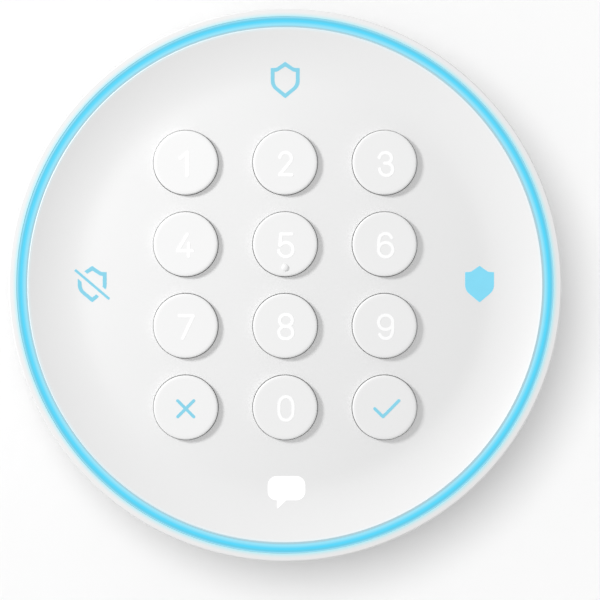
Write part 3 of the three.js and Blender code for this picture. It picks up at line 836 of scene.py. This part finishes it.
def key_cap(key):
    """One cap as it would stand on level ground: a hollow button with a flange and a post in its middle."""
    top, foot = key_top(key), box_mm(key)[0].z
    flange_low, flange_high = (foot + rise for rise in KEY_FLANGE)
    ceiling, inside = top - KEY_WALL, KEY_R - KEY_WALL
    rim = arc((KEY_R - KEY_FILLET, top - KEY_FILLET), (KEY_FILLET, KEY_FILLET), range(0, 80, 11))
    dish = [(r, top - KEY_DISH * (1 - (r / KEY_R) ** 2)) for r in (4.6, 4.1, 3.5, 2.8, 2.0, 1.2, 0.6, 0)]
    under = [(0, foot), (KEY_POST_R, foot), (KEY_POST_R, ceiling), (inside, ceiling), (inside, flange_low),
             (KEY_FLANGE_R, flange_low), (KEY_FLANGE_R, flange_high), (KEY_R, flange_high)]
    return lathe([*under, *rim, *dish], 96)


def make_key(key):
    place, slope = centre_mm(key), key_slope(key)
    cap = moved(key_cap(key), place.x, place.y)
    flange, top = box_mm(key)[0].z + KEY_FLANGE[1], key_top(key)
    for vert in cap.verts:
        share = max(0, vert.co.z - flange) / (top - flange)
        vert.co.z += share * slope(vert.co.x, vert.co.y)
    finished(f"{key}_cap", cap, KEY, key, [key])
    name = key.removeprefix("key_")
    strokes = [stroke.done(LEGEND_DEPTH) for stroke in glyph(name)]
    legend = combined("UNION", *strokes) if len(strokes) > 1 else strokes[0]
    moved(legend, place.x, place.y, MARK_PROUD - LEGEND_DEPTH)
    draped(legend, key_surface(key))
    lit = DIGIT_WHITE if name.isdigit() else LINE_CYAN
    finished(f"{key}_legend", legend, lit, key, weighted=False)


def make_mat():
    """The silicone sheet under the keys; each dome hangs from its key's post over an opening in it."""
    low = box_mm("key_mat")[0].z
    foot, crown = DOME_Z
    dome = [(DOME_R - 0.3, foot, 0.05), (DOME_R, foot, 0.05), (2.3, crown, 0.3), (0, crown, 0),
            (0, crown - 0.5, 0), (2.0, crown - 0.5, 0.2)]
    openings = []
    for key in ALL_KEYS:
        place = centre_mm(key)
        shape = moved(lathe(rounded(dome, 3), 48), place.x, place.y)
        finished(f"{key}_dome", shape, SILICONE, key, weighted=False)
        openings.append(rod(DOME_R + 0.2, low - 1, low + 2, place))
    sheet = slab(*MAT_SIZE, 4, low, low + 0.6, 0.1)
    sheet = combined("DIFFERENCE", sheet, merged(*openings))
    finished("mat_sheet", sheet, SILICONE, "housing", ["key_mat"])


def make_pip():
    """The raised dot that marks the middle key by touch."""
    place, surface = centre_mm("key_5"), key_surface("key_5")
    radius, rise = 0.6, 0.32
    dome = arc((0, 0), (radius, rise), range(90, -1, -10))
    pip = moved(lathe([*dome, (radius, -0.2), (0, -0.2)], 32), place.x, place.y - PIP_BELOW)
    finished("key_5_pip", draped(pip, surface), KEY, "key_5", weighted=False)


# ---------------------------------------------------------------- mode marks on the face

SHIELD = [(0, 3.14, 0), (-1.42, 2.15, 0.9), (-2.36, 2.1, 0.08), (-2.36, -0.86, 1.9), (0, -2.83, 0.2),
          (2.36, -0.86, 1.9), (2.36, 2.1, 0.08), (1.42, 2.15, 0.9)]
INNER_SHIELD = [(0, 2.36, 0), (-1.3, 1.53, 0.7), (-1.74, 1.49, 0.05), (-1.74, -0.62, 1.5), (0, -2.05, 0.12),
                (1.74, -0.62, 1.5), (1.74, 1.49, 0.05), (1.3, 1.53, 0.7)]
BUBBLE = [(-2.83, 2.2, 1.45), (3.29, 2.2, 1.45), (3.29, -1.71, 1.45), (0.2, -1.71, 0), (-1.29, -3.1, 0.08),
          (-1.34, -1.68, 0), (-2.83, -1.71, 1.35)]


def slash_band(width, length):
    """A bar through the middle of the crossed shield, falling to the right."""
    return moved(turned(slab(length, width, 0, 0, LEGEND_DEPTH), -40.3), y=0.1)


def make_mark(name, bm, node, material, x=0.0, y=0.0):
    """Lays a flat mark on the face over its light guide, a little to one side where it isn't centred."""
    place = centre_mm(node)
    gridded(bm, 0.8)
    moved(bm, place.x + x, place.y + y, MARK_PROUD - LEGEND_DEPTH)
    draped(bm, face_height)
    finished(name, bm, material, "housing", weighted=False)


def make_marks():
    shield, inner = rounded(SHIELD), rounded(INNER_SHIELD)
    outlined = plate([shield, inner], 0, LEGEND_DEPTH)
    make_mark("mark_home", outlined, "mark_guide_home", LINE_CYAN)
    filled = plate([shield], 0, LEGEND_DEPTH)
    make_mark("mark_away", filled, "mark_guide_away", PRINT_CYAN, x=0.12)
    crossed = combined("DIFFERENCE", plate([shield, inner], 0, LEGEND_DEPTH),
                       moved(slash_band(1.6, 9), z=-0.1), moved(slash_band(1.6, 9), z=0.1))
    crossed = merged(crossed, slash_band(0.42, 7.35))
    make_mark("mark_off", crossed, "mark_guide_off", LINE_CYAN, x=0.1)
    bubble = plate([rounded(BUBBLE, 8)], 0, LEGEND_DEPTH)
    make_mark("mark_status", bubble, "mark_guide_status", BUBBLE_WHITE, y=-0.1)


# ---------------------------------------------------------------- wall plate and foot


def make_wall_plate():
    """A disc with a collar, bayonet lugs, four screw slots, the foot's channel and the plunger's pocket."""
    (collar_in, collar_out), (foot_in, foot_out) = COLLAR_R, FOOT_R
    channel_in, channel_out = foot_in - FOOT_GAP, foot_out + FOOT_GAP
    back = [(0, PLATE_BACK, 0), (channel_in, PLATE_BACK, 0.15), (channel_in, CHANNEL_ROOF, 0),
            (channel_out, CHANNEL_ROOF, 0), (channel_out, PLATE_BACK, 0.1), (PLATE_R, PLATE_BACK, 0.35)]
    front = [(PLATE_R, PLATE_TOP, 0.3), (collar_out, PLATE_TOP, 0.3), (collar_out, COLLAR_TOP, 0.4),
             (collar_in, COLLAR_TOP, 0.4), (collar_in, PLATE_TOP, 0.3), (0, PLATE_TOP, 0)]
    disc = lathe(rounded(back + front, 3), 180)
    lugs = [sector(*LUG_R, angle, LUG_SPAN, *LUG_Z, 0.15) for angle in BAYONET_ANGLES]
    slots = [turned(moved(slab(*SCREW_SLOT, -1, 4), x=SCREW_SLOT_AT), 90 * quarter) for quarter in range(4)]
    pocket = sector(*POCKET_R, TAMPER_ANGLE + 18, 31, POCKET_FLOOR, 4)
    solid = combined("UNION", disc, merged(*lugs))
    solid = combined("DIFFERENCE", solid, merged(*slots, pocket))
    finished("plate_disc", solid, PLATE, "mount", ["wall_plate"])


def make_foot():
    (inner, outer), low, high = FOOT_R, FOOT_LOW.z, FOOT_HIGH.z
    corners = [(inner, low, 0.25), (outer, low, 0.25), (outer, high, 0), (inner, high, 0)]
    finished("foot_pad", lathe(rounded(corners, 4), 180), RUBBER, "mount", ["foot_ring"])


# ---------------------------------------------------------------- screws, switches and sound


def make_screw(node, head_r, head_high, shank_r):
    """A self-tapping screw driven from behind: a cross recess in its head, ridges near its point."""
    place, (low, high) = centre_mm(node), box_mm(node)
    thread, pitch = min(8, high.z - head_high - 0.6), 0.75
    ridges = []
    for turn in range(int((thread - 1) / pitch)):
        z = high.z - thread + 0.5 + turn * pitch
        ridges += [(shank_r - 0.15, z), (shank_r + 0.12, z + 0.35)]
    outline = [(0, low.z), (head_r - 0.35, low.z), (head_r - 0.1, low.z + 0.12), (head_r, low.z + 0.4),
               (head_r, head_high), (shank_r, head_high), (shank_r, high.z - thread), *ridges, (0, high.z)]
    recess = [turned(slab(0.55, head_r * 1.15, 0, low.z - 1, low.z + 0.7), turn) for turn in (0, 90)]
    screw = combined("DIFFERENCE", lathe(outline, 48), *recess)
    finished(f"{node}_turned", moved(screw, place.x, place.y), STEEL, "housing", [node])


def make_reset_button():
    """A round stem with a flange that keeps it in and an eased outer edge."""
    flange_r, stem_r = RESET_STEM_R + 1, RESET_STEM_R
    eased = [(stem_r, RESET_TO - 0.25), (stem_r - 0.08, RESET_TO - 0.08), (stem_r - 0.25, RESET_TO)]
    outline = [(0, RESET_FROM), (flange_r, RESET_FROM), (flange_r, RESET_FLANGE), (stem_r, RESET_FLANGE),
               *eased, (0, RESET_TO)]
    button = radial_rod(outline, RESET_ANGLE, RESET_Z)
    finished("reset_cap", button, KEY, "reset_button", ["reset_button"])


def make_plunger():
    """The tamper plunger: a round-nosed pin with a flange for its spring."""
    low, high = box_mm("tamper_plunger")
    pin_r, flange_r, stem_r = 1.2, 2, 1.1
    flange_low, flange_high = 9.9, 10.7
    nose = [(0, low.z, 0), (pin_r, low.z, 0.5), (pin_r, flange_low, 0)]
    stem = [(stem_r, flange_high, 0), (stem_r, high.z, 0.2), (0, high.z, 0)]
    corners = [*nose, (flange_r, flange_low, 0.1), (flange_r, flange_high, 0.1), *stem]
    pin = moved(lathe(rounded(corners, 4), 48), TAMPER.x, TAMPER.y)
    finished("plunger_pin", pin, KEY, "tamper_plunger", ["tamper_plunger"])


def make_spring(coil_r=1.6, wire_r=0.2, turns=4, steps_per_turn=36):
    """A coil spring: a round section swept up a helix."""
    low, high = box_mm("tamper_spring")
    place = centre_mm("tamper_spring")
    bm = bmesh.new()
    bmesh.ops.create_circle(bm, cap_ends=True, segments=12, radius=wire_r)
    moved(turned(bm, 90, "X"), x=coil_r, z=low.z + wire_r)
    steps = turns * steps_per_turn
    rise = (high.z - low.z - 2 * wire_r) / steps
    bmesh.ops.spin(bm, geom=bm.verts[:] + bm.edges[:] + bm.faces[:], cent=(0, 0, 0), axis=(0, 0, 1),
                   angle=tau * turns, steps=steps, dvec=(0, 0, rise))
    finished("plunger_spring", moved(tidied(bm), place.x, place.y), STEEL, "housing",
             ["tamper_spring"], angle=60)


def make_speaker():
    """A small loudspeaker that faces down: basket, paper cone with a folded rim, and magnet pot."""
    place = centre_mm("speaker_basket")
    basket = [(14.6, 9.9, 0.1), (17.6, 9.9, 0.3), (17.6, 11.3, 0.2), (16.4, 11.3, 0.2), (10.6, 15, 0.5),
              (0, 15, 0), (0, 14.4, 0), (10.2, 14.4, 0.3), (14.6, 11.2, 0.2)]
    cone = [(0, 12.2, 0), (3.4, 13.1, 0.4), (12.4, 10.7, 0.3), (13.1, 10.3, 0.4), (14.3, 10.3, 0.1),
            (14.3, 10.7, 0.1), (13.2, 10.75, 0.2), (12.6, 11.1, 0.2), (3.6, 13.7, 0.4), (0, 12.8, 0)]
    for name, corners, material, slot in (("basket", basket, BLACK, "black_plastic"),
                                          ("cone", cone, CONE, "speaker_cone")):
        shape = moved(lathe(rounded(corners, 4), 96), place.x, place.y)
        finished(f"{name}_turned", shape, material, "housing", [f"speaker_{name}"])
    low, high = box_mm("speaker_magnet")
    pot = rod(8.4, low.z, high.z, place, 0.5, 96)
    finished("magnet_pot", pot, MAGNET, "housing", ["speaker_magnet"])


def make_siren():
    """A round sounder with a stepped lid and a sound hole in its middle."""
    place, (low, high) = centre_mm("siren"), box_mm("siren")
    corners = [(0.9, low.z + 0.8, 0), (0.9, low.z, 0.15), (5.2, low.z, 0.2), (5.4, low.z + 0.4, 0.1),
               (6.6, low.z + 0.4, 0.4), (6.6, high.z, 0.2), (0, high.z, 0), (0, low.z + 0.8, 0)]
    shape = moved(lathe(rounded(corners, 4), 96), place.x, place.y)
    finished("siren_can", shape, BLACK, "housing", ["siren"])


# ---------------------------------------------------------------- battery, radio and socket


def make_slab(node, name, corner, edge, material):
    """A node that is a plain flat box, with its corners and edges rounded."""
    place, (low, high) = centre_mm(node), box_mm(node)
    shape = slab(high.x - low.x, high.y - low.y, corner, low.z, high.z, edge)
    finished(name, moved(shape, place.x, place.y), material, "housing", [node])


def make_power_socket():
    """A plated socket shell with a rounded mouth, a back wall and a contact tongue, pointing along +Y."""
    low, high = box_mm("power_socket")
    width, height, wall = 9, 3.2, 0.3
    mouth = slab(width - 2 * wall, height - 2 * wall, 1.28, low.y + 0.8, high.y + 1)
    shell = combined("DIFFERENCE", slab(width, height, 1.58, low.y, high.y), mouth)
    tongue = slab(6.6, 0.7, 0.3, low.y + 0.5, high.y - 1, 0.08)
    socket = moved(turned(combined("UNION", shell, tongue), -90, "X"), z=SOCKET_Z)
    finished("socket_shell", socket, TIN, "housing", ["power_socket"])


# ---------------------------------------------------------------- nodes kept from the frame

KEPT = {
    "mark_guide_home": SILICONE,
    "mark_guide_away": SILICONE,
    "mark_guide_off": SILICONE,
    "mark_guide_status": SILICONE,
    "main_board": BOARD,
    "led_strip": BOARD,
    "reset_switch": BLACK,
    "tamper_switch": BLACK,
    "battery_lead": SLEEVE,
    "speaker_lead": SLEEVE,
}


def dress_kept_nodes():
    for node, material in KEPT.items():
        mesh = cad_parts[node].data
        mesh.materials.clear()
        mesh.materials.append(material)


# ---------------------------------------------------------------- stage, light and camera


def floor_finish():
    finish = Finish("floor_pale")
    cloud = finish.noise(0.01, 2)
    return finish.shade(
        Base_Color=finish.mix(cloud, (0.89, 0.89, 0.89), (0.91, 0.91, 0.91)),
        Roughness=0.9,
    )


def make_floor():
    bm = bmesh.new()
    bmesh.ops.create_grid(bm, x_segments=2, y_segments=2, size=1.5)
    floor = raw_object("floor", bm)
    floor.data.materials.append(floor_finish())
    return floor


def softbox(name, travel_degrees, elevation, distance, size, power):
    """A round light aimed at the keypad; its light travels across the face at the given angle."""
    data = bpy.data.lights.new(name, "AREA")
    data.shape = "DISK"
    data.size = size
    data.energy = power
    lamp = bpy.data.objects.new(name, data)
    flat, rise = cos(radians(elevation)), sin(radians(elevation))
    travel = Vector((cos(radians(travel_degrees)) * flat, sin(radians(travel_degrees)) * flat, -rise))
    lamp.location = Vector((0, 0, AIM_Z * MM)) - travel * distance
    lamp.rotation_euler = travel.to_track_quat("-Z", "Y").to_euler()
    bpy.context.scene.collection.objects.link(lamp)
    return lamp


def only_for(lamp, name, floor, state):
    """Links a light to the floor alone, or to everything but the floor."""
    group = bpy.data.collections.new(name)
    group.objects.link(floor)
    group.collection_objects[0].light_linking.link_state = state
    lamp.light_linking.receiver_collection = group


def make_light(floor):
    world = bpy.data.worlds.new("studio")
    bpy.context.scene.world = world
    world.use_nodes = True
    background = world.node_tree.nodes["Background"]
    background.inputs["Color"].default_value = (1, 1, 1, 1)
    background.inputs["Strength"].default_value = 0.68
    only_for(softbox("key_light", -27, 38, 0.48, 0.11, 1.41), "lit_by_key", floor, "EXCLUDE")
    only_for(softbox("floor_light", -45, 78, 1.5, 0.60, 9.8), "lit_by_floor_light", floor, "INCLUDE")


def make_camera(lens=250, sensor=36, view_width=97.65, aside=(2.42, -2.44)):
    """Looks straight down the keypad's axis from a long way off, a little to one side of it."""
    data = bpy.data.cameras.new("camera")
    data.lens = lens
    data.sensor_width = sensor
    data.clip_end = 10
    distance = view_width * lens / sensor
    camera = bpy.data.objects.new("camera", data)
    camera.location = Vector((*aside, AIM_Z + distance)) * MM
    bpy.context.scene.collection.objects.link(camera)
    bpy.context.scene.camera = camera


bpy.context.scene.view_settings.view_transform = "Standard"
make_camera()
make_casing()
make_rear_cover()
make_light_ring()
make_face()
for key_name in ALL_KEYS:
    make_key(key_name)
make_pip()
make_mat()
make_marks()
make_wall_plate()
make_foot()
for number in range(1, 5):
    make_screw(f"case_screw_{number}", 2.4, 4.6, 1.2)
    make_screw(f"board_screw_{number}", 2.0, 18.8, 0.9)
make_reset_button()
make_plunger()
make_spring()
make_speaker()
make_siren()
make_slab("backup_battery", "battery_block", 3, 0.9, WRAP)
make_slab("battery_pad", "battery_tape", 1, 0.05, FOAM)
make_slab("radio_module", "radio_can", 0.5, 0.2, TIN)
make_power_socket()
dress_kept_nodes()
make_light(make_floor())
